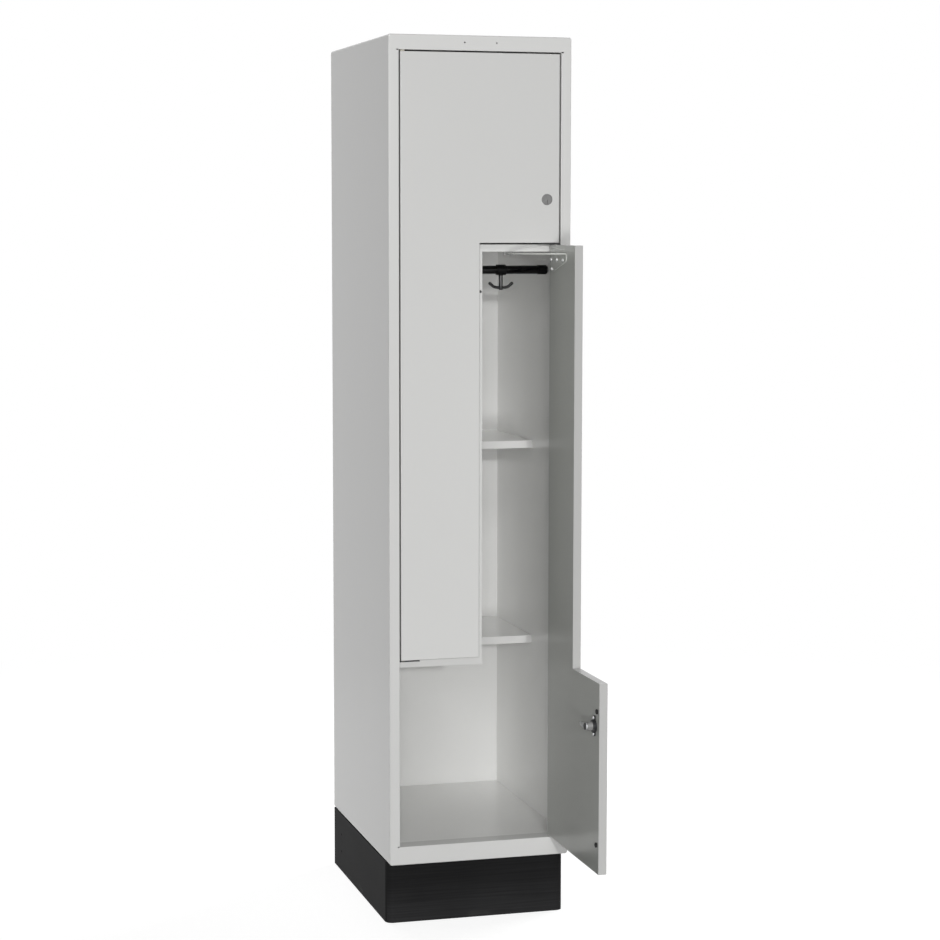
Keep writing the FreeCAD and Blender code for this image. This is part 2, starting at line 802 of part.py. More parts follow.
def plinth_prism(inset, rear, low, high):
    side = half_width - inset
    near = front + plinth_setback + inset
    shape = block(-side, side, near, rear, low, high)
    bends = []
    for edge in straight_edges(shape, along_z):
        if edge.BoundBox.YMax < near + overshoot:
            bends.append(edge)
    return shape.makeFillet(max(plinth_bend - inset, plinth_sheet), bends)


def plinth_bolt_places():
    side = half_width - bolt_from_side
    near = front + bolt_from_front
    far = back - bolt_from_back
    return [Vector(-side, near, 0), Vector(-side, far, 0), Vector(side, near, 0), Vector(side, far, 0)]


def plinth_front_and_sides():
    wall = plinth_prism(0, back, 0, plinth_height).cut(plinth_prism(plinth_sheet, back, 0, plinth_height))
    flange_rear = back - plinth_sheet - plinth_rear_flange
    pieces = [wall]
    for low in (0, plinth_height - plinth_sheet):
        high = low + plinth_sheet
        plate = plinth_prism(plinth_sheet, flange_rear, low, high)
        pieces.append(plate.cut(plinth_prism(plinth_sheet + plinth_flange, flange_rear, low, high)))
    tools = []
    for side in (-1, 1):
        for half in (-0.5, 0.5):
            level = plinth_height - plinth_hole_drop + half * plinth_hole_spacing
            place = Vector(side * half_width, back - plinth_hole_from_back, level)
            tools.append(cylinder(place, along_x * -side, plinth_hole_radius, plinth_sheet))
    drill = cylinder(Vector(0, 0, plinth_height - plinth_sheet), along_z, bolt_radius + bolt_clearance,
                     plinth_sheet)
    for place in plinth_bolt_places():
        tools.append(drill.translated(place))
    return without(joined(*pieces), *tools)


def plinth_rear():
    side = half_width - plinth_sheet
    web_front = back - plinth_sheet
    flange_front = web_front - plinth_rear_flange
    web = block(-side, side, web_front, back, 0, plinth_height)
    low_flange = block(-side, side, flange_front, web_front, 0, plinth_sheet)
    top_flange = block(-side, side, flange_front, web_front, plinth_height - plinth_sheet, plinth_height)
    return joined(web, low_flange, top_flange)


def hexagon(centre, radius, height):
    points = []
    for corner in range(7):
        turn = math.radians(60 * corner)
        points.append(centre + Vector(math.cos(turn), math.sin(turn), 0) * radius)
    return Part.Face(Part.makePolygon(points)).extrude(Vector(0, 0, height))


def plinth_bolts():
    bolts = []
    underside = plinth_height - plinth_sheet
    length = plinth_sheet + sheet + nut_height
    for place in plinth_bolt_places():
        head = hexagon(place + along_z * (underside - bolt_head_height), bolt_head_radius, bolt_head_height)
        bolts.append(joined(head, cylinder(place + along_z * underside, along_z, bolt_radius, length)))
    return Part.makeCompound(bolts)


def plinth_nuts():
    nuts = []
    for place in plinth_bolt_places():
        seat = place + along_z * (body_bottom + sheet)
        nut = hexagon(seat, nut_radius, nut_height)
        nuts.append(nut.cut(cylinder(seat, along_z, bolt_radius + press_clearance, nut_height)))
    return Part.makeCompound(nuts)


# The lower half of the locker is the upper half turned half a turn about the middle of the doors

def turned_over(shape):
    return shape.rotated(Vector(0, 0, doors_centre), along_y, 180)


def as_lower_door(shape):
    return turned_over(shape).rotated(Vector(pivot_x, pivot_y, 0), along_z, opening_angle)


def carcass_nodes():
    side_panel = side_panel_left()
    left_column = (-inner_side, web_left)
    right_column = (web_right, inner_side)
    buffer = post_buffer()
    upper_guide = stay_guide(lower_partition_top, stay_bottom, stay_top)
    slot_low = 2 * doors_centre - stay_top
    slot_high = 2 * doors_centre - stay_bottom
    lower_guide = mirrored(stay_guide(upper_partition_top - sheet, slot_low, slot_high))
    return {
        "left_side_panel": side_panel,
        "right_side_panel": mirrored(side_panel),
        "top_panel": top_panel(),
        "floor_panel": floor_panel(),
        "back_panel": back_panel(),
        "centre_divider": centre_divider(),
        "upper_partition": partition(upper_partition_top, web_left, 1),
        "lower_partition": partition(lower_partition_top, web_left, -1),
        "right_middle_shelf": shelf(*right_column, shelf_middle_top),
        "right_low_shelf": shelf(*right_column, shelf_low_top),
        "left_middle_shelf": shelf(*left_column, shelf_middle_top),
        "left_high_shelf": shelf(*left_column, upper_partition_top),
        "upper_hinge_plate": hinge_plate(pivot_x, upper_partition_top),
        "lower_hinge_plate": hinge_plate(-pivot_x, lower_partition_top),
        "hinge_pins": hinge_pins(),
        "upper_stay_guide": upper_guide,
        "lower_stay_guide": lower_guide,
        "divider_buffers": Part.makeCompound([buffer, turned_over(buffer)]),
        "upper_clothes_rail": clothes_rail(-inner_side, inner_side, upper_rail_z),
        "upper_rail_sockets": rail_sockets(-inner_side, inner_side, upper_rail_z),
        "lower_clothes_rail": clothes_rail(*right_column, lower_rail_z),
        "lower_rail_sockets": rail_sockets(*right_column, lower_rail_z),
        "upper_hook_collar": hook_collar(-hook_from_middle, upper_rail_z),
        "upper_hook_pin": hook_pin(-hook_from_middle, upper_rail_z),
        "upper_hook": double_hook(-hook_from_middle, upper_rail_z),
        "lower_hook_collar": hook_collar(hook_from_middle, lower_rail_z),
        "lower_hook_pin": hook_pin(hook_from_middle, lower_rail_z),
        "lower_hook": double_hook(hook_from_middle, lower_rail_z),
        "plinth_front_and_sides": plinth_front_and_sides(),
        "plinth_rear": plinth_rear(),
        "plinth_bolts": plinth_bolts(),
        "plinth_nuts": plinth_nuts(),
    }


def door_nodes():
    drawn = {
        "door_skin": [door_skin()],
        "door_liner": [door_liner()],
        "door_bushes": door_bushes(),
        "hinge_gusset": [hinge_gusset()],
        "gusset_rivets": gusset_rivets(),
        "door_stay": [door_stay()],
        "door_buffers": door_buffers(),
        "lock_barrel": [lock_barrel()],
        "lock_base": [lock_base()],
        "lock_screws": lock_screws(),
        "lock_plug": [lock_plug()],
        "lock_cam": [lock_cam()],
        "cam_screw": [cam_screw()],
    }
    nodes = {}
    for name, solids in drawn.items():
        nodes["upper_" + name] = Part.makeCompound(solids)
        nodes["lower_" + name] = Part.makeCompound([as_lower_door(solid) for solid in solids])
    return nodes


os.makedirs("parts", exist_ok=True)
nodes = carcass_nodes()
nodes.update(door_nodes())
for name, shape in nodes.items():
    shape.exportStep("parts/" + name + ".step")
print(len(nodes), "nodes, hinge axis at", pivot_x, pivot_y, "lock at", lock_x, lock_z)
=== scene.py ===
import math

import bmesh
import bpy
import numpy as np
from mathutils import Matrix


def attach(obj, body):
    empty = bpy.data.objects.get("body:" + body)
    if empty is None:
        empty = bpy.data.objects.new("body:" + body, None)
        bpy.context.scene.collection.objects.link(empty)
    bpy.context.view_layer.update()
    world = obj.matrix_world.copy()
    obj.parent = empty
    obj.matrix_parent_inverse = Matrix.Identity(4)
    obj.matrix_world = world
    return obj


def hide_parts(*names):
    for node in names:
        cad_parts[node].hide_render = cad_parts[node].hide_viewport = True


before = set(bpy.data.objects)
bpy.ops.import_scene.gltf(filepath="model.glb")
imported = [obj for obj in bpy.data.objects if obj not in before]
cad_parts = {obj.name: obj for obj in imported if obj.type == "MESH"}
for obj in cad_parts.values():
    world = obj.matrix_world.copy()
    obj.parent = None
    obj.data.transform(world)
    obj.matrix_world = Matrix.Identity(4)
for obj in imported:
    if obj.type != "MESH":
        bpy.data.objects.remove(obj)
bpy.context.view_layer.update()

print("stage: frame loaded with", len(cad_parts), "nodes")

millimetre = 0.001
fullTurn = 2.0 * math.pi
noiseMiddle = 0.5  # mean of a noise texture
facingFrom, facingTo = 0.4, 0.6  # how squarely a face looks along an axis, from not at all to fully
mixShare, mixFirst, mixSecond, mixResult = 0, 6, 7, 2  # colour sockets of a Mix node


class Signal:
    # a shader socket that can be used in sums: each operator adds one Math node

    def __init__(self, nodes, socket):
        self.nodes = nodes
        self.socket = socket

    def math(self, operation, first, second):
        return self.nodes.node("ShaderNodeMath", {"operation": operation}, {0: first, 1: second})

    def __add__(self, other):
        return self.math("ADD", self, other)

    def __radd__(self, other):
        return self.math("ADD", other, self)

    def __sub__(self, other):
        return self.math("SUBTRACT", self, other)

    def __rsub__(self, other):
        return self.math("SUBTRACT", other, self)

    def __mul__(self, other):
        return self.math("MULTIPLY", self, other)

    def __rmul__(self, other):
        return self.math("MULTIPLY", other, self)

    def below(self, limit):
        return self.math("LESS_THAN", self, limit)

    def above(self, limit):
        return self.math("GREATER_THAN", self, limit)

    def larger(self, other):
        return self.math("MAXIMUM", self, other)

    def size(self):
        return self.nodes.node("ShaderNodeMath", {"operation": "ABSOLUTE"}, {0: self})


class Nodes:
    # a node tree, of a material or of the world

    def __init__(self, tree):
        self.tree = tree

    def node(self, kind, settings=None, inputs=None, output=0):
        made = self.tree.nodes.new(kind)
        for key, value in (settings or {}).items():
            setattr(made, key, value)
        for key, value in (inputs or {}).items():
            self.link(made.inputs[key], value)
        return Signal(self, made.outputs[output])

    def link(self, socket, value):
        if isinstance(value, Signal):
            self.tree.links.new(value.socket, socket)
        else:
            socket.default_value = value

    def cameraShare(self):
        # 1 for the rays that show the background: seen directly, in a reflection or through glass
        names = ("Is Camera Ray", "Is Glossy Ray", "Is Transmission Ray")
        direct, mirrored, through = [self.node("ShaderNodeLightPath", output=name) for name in names]
        return direct.larger(mirrored).larger(through)


class Finish(Nodes):
    # one material, with the Principled shader that its signals feed

    def __init__(self, name, **constants):
        self.material = bpy.data.materials.new(name)
        self.material.use_nodes = True
        super().__init__(self.material.node_tree)
        self.shader = self.tree.nodes["Principled BSDF"]
        self.place = self.node("ShaderNodeTexCoord", output="Object")
        self.feed(**constants)

    def feed(self, **values):
        for socket, value in values.items():
            self.link(self.shader.inputs[socket.replace("_", " ")], value)

    def noise(self, perMetre, detail, stretch=(1.0, 1.0, 1.0)):
        # stretch divides the pattern's frequency along each axis
        scale = [perMetre / s for s in stretch]
        spot = self.node("ShaderNodeMapping", {}, {"Vector": self.place, "Scale": scale})
        return self.node("ShaderNodeTexNoise", {}, {"Vector": spot, "Scale": 1.0, "Detail": detail})

    def cells(self, perMetre):
        # one random value for each cell of a Voronoi pattern
        colour = self.node("ShaderNodeTexVoronoi", {}, {"Vector": self.place, "Scale": perMetre}, "Color")
        return self.node("ShaderNodeSeparateColor", {}, {0: colour})

    def along(self, axis):
        # how far a point is along an axis of the locker, in metres
        return self.node("ShaderNodeSeparateXYZ", {}, {0: self.place}, axis)

    def facing(self, axis):
        # 1 on the faces that look along an axis, either way, and 0 on the rest
        normal = self.node("ShaderNodeTexCoord", output="Normal")
        share = self.node("ShaderNodeSeparateXYZ", {}, {0: normal}, axis)
        return self.span(share.size(), facingFrom, facingTo)

    def scaled(self, colour, share):
        inputs = {0: colour, "Scale": share}
        return self.node("ShaderNodeVectorMath", {"operation": "SCALE"}, inputs, "Vector")

    def span(self, signal, low, high, lowValue=0.0, highValue=1.0):
        # a smooth ramp from lowValue to highValue, held flat outside
        inputs = {"Value": signal, "From Min": low, "From Max": high, "To Min": lowValue, "To Max": highValue}
        return self.node("ShaderNodeMapRange", {"interpolation_type": "SMOOTHSTEP"}, inputs)

    def blend(self, share, first, second):
        first, second = [c if isinstance(c, Signal) else (*c, 1.0) for c in (first, second)]
        inputs = {mixShare: share, mixFirst: first, mixSecond: second}
        return self.node("ShaderNodeMix", {"data_type": "RGBA"}, inputs, mixResult)

    def varied(self, pattern, change, middle):
        # a value that follows a noise pattern up and down about its middle
        return (pattern - noiseMiddle) * change + middle

    def bump(self, height, distance, under=None):
        inputs = {"Height": height, "Distance": distance, "Strength": 1.0}
        if under:
            inputs["Normal"] = under
        return self.node("ShaderNodeBump", {}, inputs)


# powder coat on the sheet metal: a fine orange peel, a slow change of tone and of gloss
paintLook = {
    "colour": (0.67, 0.67, 0.659), "toneChange": 0.04, "gloss": 0.17, "glossChange": 0.05,
    "cloudPerMetre": 3.0, "cloudDetail": 4.0, "finePerMetre": 90.0, "fineDetail": 3.0, "cloudShare": 0.7,
    "peelPerMetre": 420.0, "peelDetail": 1.5, "peelHeight": 0.002 * millimetre,
    "wavePerMetre": 5.0, "waveDetail": 1.0, "waveStretch": (1.0, 1.0, 2.5), "waveHeight": 0.05 * millimetre,
}
# past these planes, inside the body, the coat is paler: painted light for the fill in the compartments, less
# on the faces that look forward, darker low and lighter high; outside, the fronts darken towards the floor
# and lighten towards the top: painted shade and painted light
carcassLook = {
    **paintLook, "side": 0.1994, "front": -0.236, "back": 0.2744, "top": 1.8994,
    "insideTone": 1.32, "insideFrontTone": 0.98,
    "insideLowAt": 0.3, "insideLowTone": 0.96, "insideHighAt": 1.4, "insideHighTone": 1.05,
    "nearFloorFrom": 0.15, "nearFloorTo": 0.9, "nearFloorTone": 0.93, "topLightFrom": 1.0, "topLightTo": 1.85, "topLightTone": 1.08,
}
# the doors' edges are darker than their faces: painted shade
upperDoorLook = {**paintLook, "faceAxis": "Y", "edgeTone": 0.78}
lowerDoorLook = {**upperDoorLook, "faceAxis": "X"}
# a duller coat inside the doors, darker than the carcass's: painted shade on the doors' inner faces; lighter
# at the top and darker at the bottom: painted light and shade
linerLook = {
    **paintLook, "colour": (0.549, 0.561, 0.532), "gloss": 0.22,
    "lowAt": 0.3, "lowTone": 0.9, "highAt": 1.4, "highTone": 1.1,
}


def carcassTone(coat, look):
    x, y, z = [coat.along(axis) for axis in "XYZ"]
    inside = x.size().below(look["side"]) * z.below(look["top"])
    inside = inside * y.above(look["front"]) * y.below(look["back"])
    facing = coat.facing("Y")
    # painted shade: the fronts darker towards the floor
    nearFloor = coat.span(z, look["nearFloorFrom"], look["nearFloorTo"], look["nearFloorTone"] - 1.0, 0.0)
    # painted light: the fronts lighter towards the top
    topLight = coat.span(z, look["topLightFrom"], look["topLightTo"], 0.0, look["topLightTone"] - 1.0)
    outer = facing * (nearFloor + topLight) + 1.0
    # inside: painted light, paler on the sides than on the faces that look forward, lighter high and darker
    # low
    lowTone, highTone = look["insideLowTone"], look["insideHighTone"]
    rising = coat.span(z, look["insideLowAt"], look["insideHighAt"], lowTone, highTone)
    inner = (facing * (look["insideFrontTone"] - look["insideTone"]) + look["insideTone"]) * rising
    return inside * (inner - outer) + outer


# painted shade: the faces keep the coat's colour, the edges take edgeTone
def doorTone(coat, look):
    return coat.facing(look["faceAxis"]) * (1.0 - look["edgeTone"]) + look["edgeTone"]


# painted light and shade: lighter high, darker low
def linerTone(coat, look):
    return coat.span(coat.along("Z"), look["lowAt"], look["highAt"], look["lowTone"], look["highTone"])


def greyPowderCoat(name, look, toneOf):
    coat = Finish(name)
    cloud = coat.noise(look["cloudPerMetre"], look["cloudDetail"])
    fine = coat.noise(look["finePerMetre"], look["fineDetail"])
    mixed = cloud * look["cloudShare"] + fine * (1.0 - look["cloudShare"])
    tone = toneOf(coat, look) * coat.varied(mixed, look["toneChange"], 1.0)
    coat.feed(Base_Color=coat.scaled(look["colour"], tone))
    coat.feed(Roughness=coat.varied(mixed, look["glossChange"], look["gloss"]))
    waves = coat.noise(look["wavePerMetre"], look["waveDetail"], look["waveStretch"])
    peel = coat.noise(look["peelPerMetre"], look["peelDetail"])
    coat.feed(Normal=coat.bump(peel, look["peelHeight"], coat.bump(waves, look["waveHeight"])))
    return coat.material


# black coat of the plinth: satin, with faint level streaks, paler on its front towards the floor, and scuffs
# near the floor
plinthLook = {
    "colour": (0.0085, 0.0085, 0.0088), "pale": (0.015, 0.015, 0.0155), "paleFrom": 0.3, "paleTo": 0.7,
    "sheen": 0.04, "gloss": 0.62, "glossChange": 0.14,
    "streaksPerMetre": 260.0, "streakDetail": 3.0, "streakStretch": (60.0, 60.0, 1.0), "streakShare": 0.6,
    "cloudPerMetre": 6.0, "cloudDetail": 4.0,
    "grainPerMetre": 900.0, "grainDetail": 2.0, "grainHeight": 0.02 * millimetre,
    "scuff": (0.035, 0.035, 0.034), "scuffFrom": 0.6, "scuffTo": 0.72, "scuffTop": 0.03,
    "scuffsPerMetre": 55.0, "scuffDetail": 5.0, "scuffStretch": (4.0, 4.0, 1.0),
    "nearFloorTop": 0.1, "nearFloorTone": 2.1,
}


def blackSatinCoat(name, look):
    coat = Finish(name, Specular_IOR_Level=look["sheen"])
    streaks = coat.noise(look["streaksPerMetre"], look["streakDetail"], look["streakStretch"])
    cloud = coat.noise(look["cloudPerMetre"], look["cloudDetail"])
    mixed = streaks * look["streakShare"] + cloud * (1.0 - look["streakShare"])
    tone = coat.blend(coat.span(mixed, look["paleFrom"], look["paleTo"]), look["colour"], look["pale"])
    scuffs = coat.noise(look["scuffsPerMetre"], look["scuffDetail"], look["scuffStretch"])
    marks = coat.span(scuffs, look["scuffFrom"], look["scuffTo"])
    z = coat.along("Z")
    low = coat.span(z, 0.0, look["scuffTop"], 1.0, 0.0)
    # paler on the front towards the floor
    nearFloor = coat.facing("Y") * coat.span(z, 0.0, look["nearFloorTop"], look["nearFloorTone"] - 1.0, 0.0) + 1.0
    coat.feed(Base_Color=coat.blend(marks * low, coat.scaled(tone, nearFloor), look["scuff"]))
    coat.feed(Roughness=coat.varied(streaks, look["glossChange"], look["gloss"]))
    grain = coat.noise(look["grainPerMetre"], look["grainDetail"])
    coat.feed(Normal=coat.bump(grain, look["grainHeight"]))
    return coat.material


# gloss black enamel on the clothes rails, with fine rub marks from hangers along the tube
railLook = {
    "colour": (0.0012, 0.0012, 0.0013), "rubbed": (0.003, 0.003, 0.0031), "rubFrom": 0.45, "rubTo": 0.75,
    "sheen": 0.3, "gloss": 0.12, "glossChange": 0.12,
    "rubsPerMetre": 900.0, "rubDetail": 3.0, "rubStretch": (14.0, 1.0, 1.0), "rubHeight": 0.004 * millimetre,
}


def glossBlackEnamel(name, look):
    enamel = Finish(name, Specular_IOR_Level=look["sheen"])
    rubs = enamel.noise(look["rubsPerMetre"], look["rubDetail"], look["rubStretch"])
    rubbed = enamel.span(rubs, look["rubFrom"], look["rubTo"])
    enamel.feed(Base_Color=enamel.blend(rubbed, look["colour"], look["rubbed"]))
    enamel.feed(Roughness=enamel.varied(rubs, look["glossChange"], look["gloss"]))
    enamel.feed(Normal=enamel.bump(rubs, look["rubHeight"]))
    return enamel.material


# bright zinc plate on the pins, screws, cams and bolts
zincLook = {
    "colour": (0.66, 0.67, 0.68), "dull": (0.5, 0.51, 0.52), "gloss": 0.28, "glossChange": 0.2,
    "spanglesPerMetre": 260.0, "spangleGloss": 0.08, "scratchesPerMetre": 1500.0, "scratchDetail": 2.0,
    "scratchStretch": (25.0, 1.0, 1.0), "scratchHeight": 0.006 * millimetre,
}
# the pop rivets are of a paler alloy
alloyLook = {**zincLook, "colour": (0.95, 0.95, 0.95), "dull": (0.88, 0.88, 0.88), "gloss": 0.36}


def zincPlate(name, look):
    plate = Finish(name, Metallic=1.0)
    spangle = plate.cells(look["spanglesPerMetre"])
    scratches = plate.noise(look["scratchesPerMetre"], look["scratchDetail"], look["scratchStretch"])
    plate.feed(Base_Color=plate.blend(spangle, look["dull"], look["colour"]))
    rough = plate.varied(scratches, look["glossChange"], look["gloss"])
    plate.feed(Roughness=rough + spangle * look["spangleGloss"])
    plate.feed(Normal=plate.bump(scratches, look["scratchHeight"]))
    return plate.material


# satin nickel on the lock, darker on the rosette and brighter on the barrel behind it
nickelLook = {
    "colour": (0.19, 0.19, 0.188), "dull": (0.14, 0.14, 0.139), "gloss": 0.4, "glossChange": 0.16,
    "cloudPerMetre": 180.0, "cloudDetail": 3.0, "brushPerMetre": 2600.0, "brushDetail": 2.0,
    "brushStretch": (1.0, 1.0, 18.0), "brushHeight": 0.004 * millimetre,
    "axis": "Y", "rosetteEnd": -0.274, "bodyStart": -0.272, "bodyTone": 1.9,
}
lowerNickelLook = {**nickelLook, "axis": "X", "rosetteEnd": 0.1745, "bodyStart": 0.1725}
pinNickelLook = {**nickelLook, "bodyTone": 0.6}  # the hooks' stems


def satinNickel(name, look):
    plate = Finish(name, Metallic=1.0)
    brush = plate.noise(look["brushPerMetre"], look["brushDetail"], look["brushStretch"])
    cloud = plate.noise(look["cloudPerMetre"], look["cloudDetail"])
    depth = plate.along(look["axis"])
    behind = plate.span(depth, look["rosetteEnd"], look["bodyStart"], 1.0, look["bodyTone"])
    plate.feed(Base_Color=plate.scaled(plate.blend(cloud, look["dull"], look["colour"]), behind))
    plate.feed(Roughness=plate.varied(brush, look["glossChange"], look["gloss"]))
    plate.feed(Normal=plate.bump(brush, look["brushHeight"]))
    return plate.material


# black passivated metal of the lock's base, the cam's screw and the hinge plates; on the hinge plates the
# black is partly painted shade, for the dark gaps at the hinges
darkLook = {
    "colour": (0.03, 0.031, 0.033), "worn": (0.09, 0.09, 0.09), "wornFrom": 0.52, "wornTo": 0.75,
    "metal": 0.6, "gloss": 0.4, "glossChange": 0.2, "cloudPerMetre": 150.0, "cloudDetail": 4.0,
    "grainPerMetre": 1400.0, "grainDetail": 3.0, "grainHeight": 0.01 * millimetre,
}


def darkPassivated(name, look):
    metal = Finish(name, Metallic=look["metal"])
    grain = metal.noise(look["grainPerMetre"], look["grainDetail"])
    cloud = metal.noise(look["cloudPerMetre"], look["cloudDetail"])
    worn = metal.span(cloud, look["wornFrom"], look["wornTo"])
    metal.feed(Base_Color=metal.blend(worn, look["colour"], look["worn"]))
    metal.feed(Roughness=metal.varied(grain, look["glossChange"], look["gloss"]))
    metal.feed(Normal=metal.bump(grain, look["grainHeight"]))
    return metal.material


# moulded black plastic of the sockets and collars; the hooks are a little greyer; the stay guides mid grey,
# which is painted shade
plasticLook = {
    "colour": (0.0016, 0.0016, 0.0017), "pale": (0.004, 0.004, 0.0042), "sheen": 0.16, "gloss": 0.34,
    "glossChange": 0.12, "cloudPerMetre": 60.0, "cloudDetail": 3.0,
    "grainPerMetre": 1100.0, "grainDetail": 2.0, "grainHeight": 0.012 * millimetre,
}
guideShadeGreyLook = {**plasticLook, "colour": (0.25, 0.255, 0.25), "pale": (0.3, 0.305, 0.3), "sheen": 0.3}
hookPlasticLook = {
    **plasticLook, "colour": (0.014, 0.0145, 0.015), "pale": (0.021, 0.0215, 0.022), "sheen": 0.45,
}


def mouldedPlastic(name, look):
    plastic = Finish(name, Specular_IOR_Level=look["sheen"])
    grain = plastic.noise(look["grainPerMetre"], look["grainDetail"])
    cloud = plastic.noise(look["cloudPerMetre"], look["cloudDetail"])
    plastic.feed(Base_Color=plastic.blend(cloud, look["colour"], look["pale"]))
    plastic.feed(Roughness=plastic.varied(grain, look["glossChange"], look["gloss"]))
    plastic.feed(Normal=plastic.bump(grain, look["grainHeight"]))
    return plastic.material


# soft rubber of the buffers, with a grey bloom: black on the doors, grey on the post
rubberLook = {
    "colour": (0.006, 0.006, 0.006), "bloom": (0.018, 0.018, 0.018), "bloomFrom": 0.45, "bloomTo": 0.75,
    "sheen": 0.3, "gloss": 0.6, "glossChange": 0.2, "bloomPerMetre": 320.0, "bloomDetail": 4.0,
    "grainPerMetre": 1600.0, "grainDetail": 3.0, "grainHeight": 0.03 * millimetre,
}
greyRubberLook = {**rubberLook, "colour": (0.1, 0.1, 0.1), "bloom": (0.16, 0.16, 0.16)}


def softRubber(name, look):
    rubber = Finish(name, Specular_IOR_Level=look["sheen"])
    grain = rubber.noise(look["grainPerMetre"], look["grainDetail"])
    patches = rubber.noise(look["bloomPerMetre"], look["bloomDetail"])
    bloom = rubber.span(patches, look["bloomFrom"], look["bloomTo"])
    rubber.feed(Base_Color=rubber.blend(bloom, look["colour"], look["bloom"]))
    rubber.feed(Roughness=rubber.varied(grain, look["glossChange"], look["gloss"]))
    rubber.feed(Normal=rubber.bump(grain, look["grainHeight"]))
    return rubber.material


# natural nylon of the hinge bushes, a little yellowed
nylonLook = {
    "colour": (0.62, 0.6, 0.53), "aged": (0.5, 0.46, 0.36), "gloss": 0.45, "glossChange": 0.15,
    "cloudPerMetre": 220.0, "cloudDetail": 3.0,
    "grainPerMetre": 900.0, "grainDetail": 2.0, "grainHeight": 0.01 * millimetre,
}


def naturalNylon(name, look):
    nylon = Finish(name)
    cloud = nylon.noise(look["cloudPerMetre"], look["cloudDetail"])
    nylon.feed(Base_Color=nylon.blend(cloud, look["aged"], look["colour"]))
    nylon.feed(Roughness=nylon.varied(cloud, look["glossChange"], look["gloss"]))
    grain = nylon.noise(look["grainPerMetre"], look["grainDetail"])
    nylon.feed(Normal=nylon.bump(grain, look["grainHeight"]))
    return nylon.material


# the finish of each material slot
finishes = {
    "carcass_paint": greyPowderCoat("greyPowderCoat", carcassLook, carcassTone),
    "black_paint": blackSatinCoat("blackSatinCoat", plinthLook),
    "zinc_steel": zincPlate("zincPlate", zincLook),
    "lock_nickel": satinNickel("satinNickel", nickelLook),
    "dark_metal": darkPassivated("darkPassivated", darkLook),
    "black_plastic": mouldedPlastic("mouldedPlastic", plasticLook),
    "black_rubber": softRubber("softRubber", rubberLook),
    "hinge_nylon": naturalNylon("naturalNylon", nylonLook),
}

# nodes whose finish differs from their slot's, by name or by name without upper or lower
linerCoat = greyPowderCoat("linerPowderCoat", linerLook, linerTone)
lowerNickel = satinNickel("lowerSatinNickel", lowerNickelLook)
ownFinish = {
    "upper_door_skin": greyPowderCoat("upperDoorPowderCoat", upperDoorLook, doorTone),
    "lower_door_skin": greyPowderCoat("lowerDoorPowderCoat", lowerDoorLook, doorTone),
    # the gussets and the stays take the liner's darker coat: painted shade
    "door_liner": linerCoat, "hinge_gusset": linerCoat, "door_stay": linerCoat,
    "clothes_rail": glossBlackEnamel("glossBlackEnamel", railLook),
    # the stay guides' mid grey is painted shade, for the shade behind the rails
    "stay_guide": mouldedPlastic("guideShadeGrey", guideShadeGreyLook),
    "hook": mouldedPlastic("hookPlastic", hookPlasticLook),
    "hook_pin": satinNickel("pinNickel", pinNickelLook),
    "gusset_rivets": zincPlate("rivetAlloy", alloyLook),
    "lower_lock_plug": lowerNickel, "lower_lock_barrel": lowerNickel,
    "divider_buffers": softRubber("greyRubber", greyRubberLook),
}


def finishOf(nodeName, slotName):
    kind = nodeName.split("_", 1)[1]
    return ownFinish.get(nodeName, ownFinish.get(kind, finishes[slotName]))


for nodeName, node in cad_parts.items():
    for place in node.material_slots:
        place.material = finishOf(nodeName, place.material.name.split(".")[0])
print("stage: finishes on the packed nodes")


# shapes worked out on grids of two parameters, in millimetres
mergeDistance = 0.0005
sharpEdge = 40.0  # degrees


def quads(rows, columns):
    # corner numbers of the faces between the rows, each of which closes into a ring
    number = np.arange(rows * columns).reshape(rows, columns)
    number = np.concatenate([number, number[:, :1]], axis=1)
    corners = (number[:-1, :-1], number[1:, :-1], number[1:, 1:], number[:-1, 1:])
    return np.stack(corners, axis=-1).reshape(-1, 4)


def ringAngles(steps):
    return np.linspace(0.0, fullTurn, steps, endpoint=False)


def turnedShape(profile, steps, centre, axis, side):
    # each profile point (radius, height) runs round the axis:
    # centre + radius * direction(angle) + height * axis
    angle = ringAngles(steps)[:, None]
    axis, side = np.array(axis, float), np.array(side, float)
    around = np.cos(angle) * side + np.sin(angle) * np.cross(axis, side)
    radius, height = np.array(profile, float).T
    points = radius[:, None, None] * around + height[:, None, None] * axis + np.array(centre, float)
    return points.reshape(-1, 3), quads(len(radius), steps)


def joinedShape(shapes):
    # several grids as one list of points and one list of faces
    starts = np.cumsum([0] + [len(points) for points, faces in shapes[:-1]])
    allPoints = np.concatenate([points for points, faces in shapes])
    allFaces = np.concatenate([faces + start for start, (points, faces) in zip(starts, shapes)])
    return allPoints, allFaces


def addPiece(name, shape, body, nodeName, slotName, sharpness=sharpEdge):
    # doubles at the poles are merged and the faces are turned outwards
    points, faces = shape
    mesh = bpy.data.meshes.new(name)
    mesh.from_pydata((points * millimetre).tolist(), [], faces.tolist())
    work = bmesh.new()
    work.from_mesh(mesh)
    bmesh.ops.remove_doubles(work, verts=work.verts, dist=mergeDistance * millimetre)
    bmesh.ops.recalc_face_normals(work, faces=work.faces)
    work.to_mesh(mesh)
    work.free()
    mesh.shade_smooth()
    mesh.set_sharp_from_angle(angle=math.radians(sharpness))
    mesh.materials.append(finishOf(nodeName, slotName))
    piece = bpy.data.objects.new(name, mesh)
    bpy.context.scene.collection.objects.link(piece)
    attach(piece, body)
    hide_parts(nodeName)


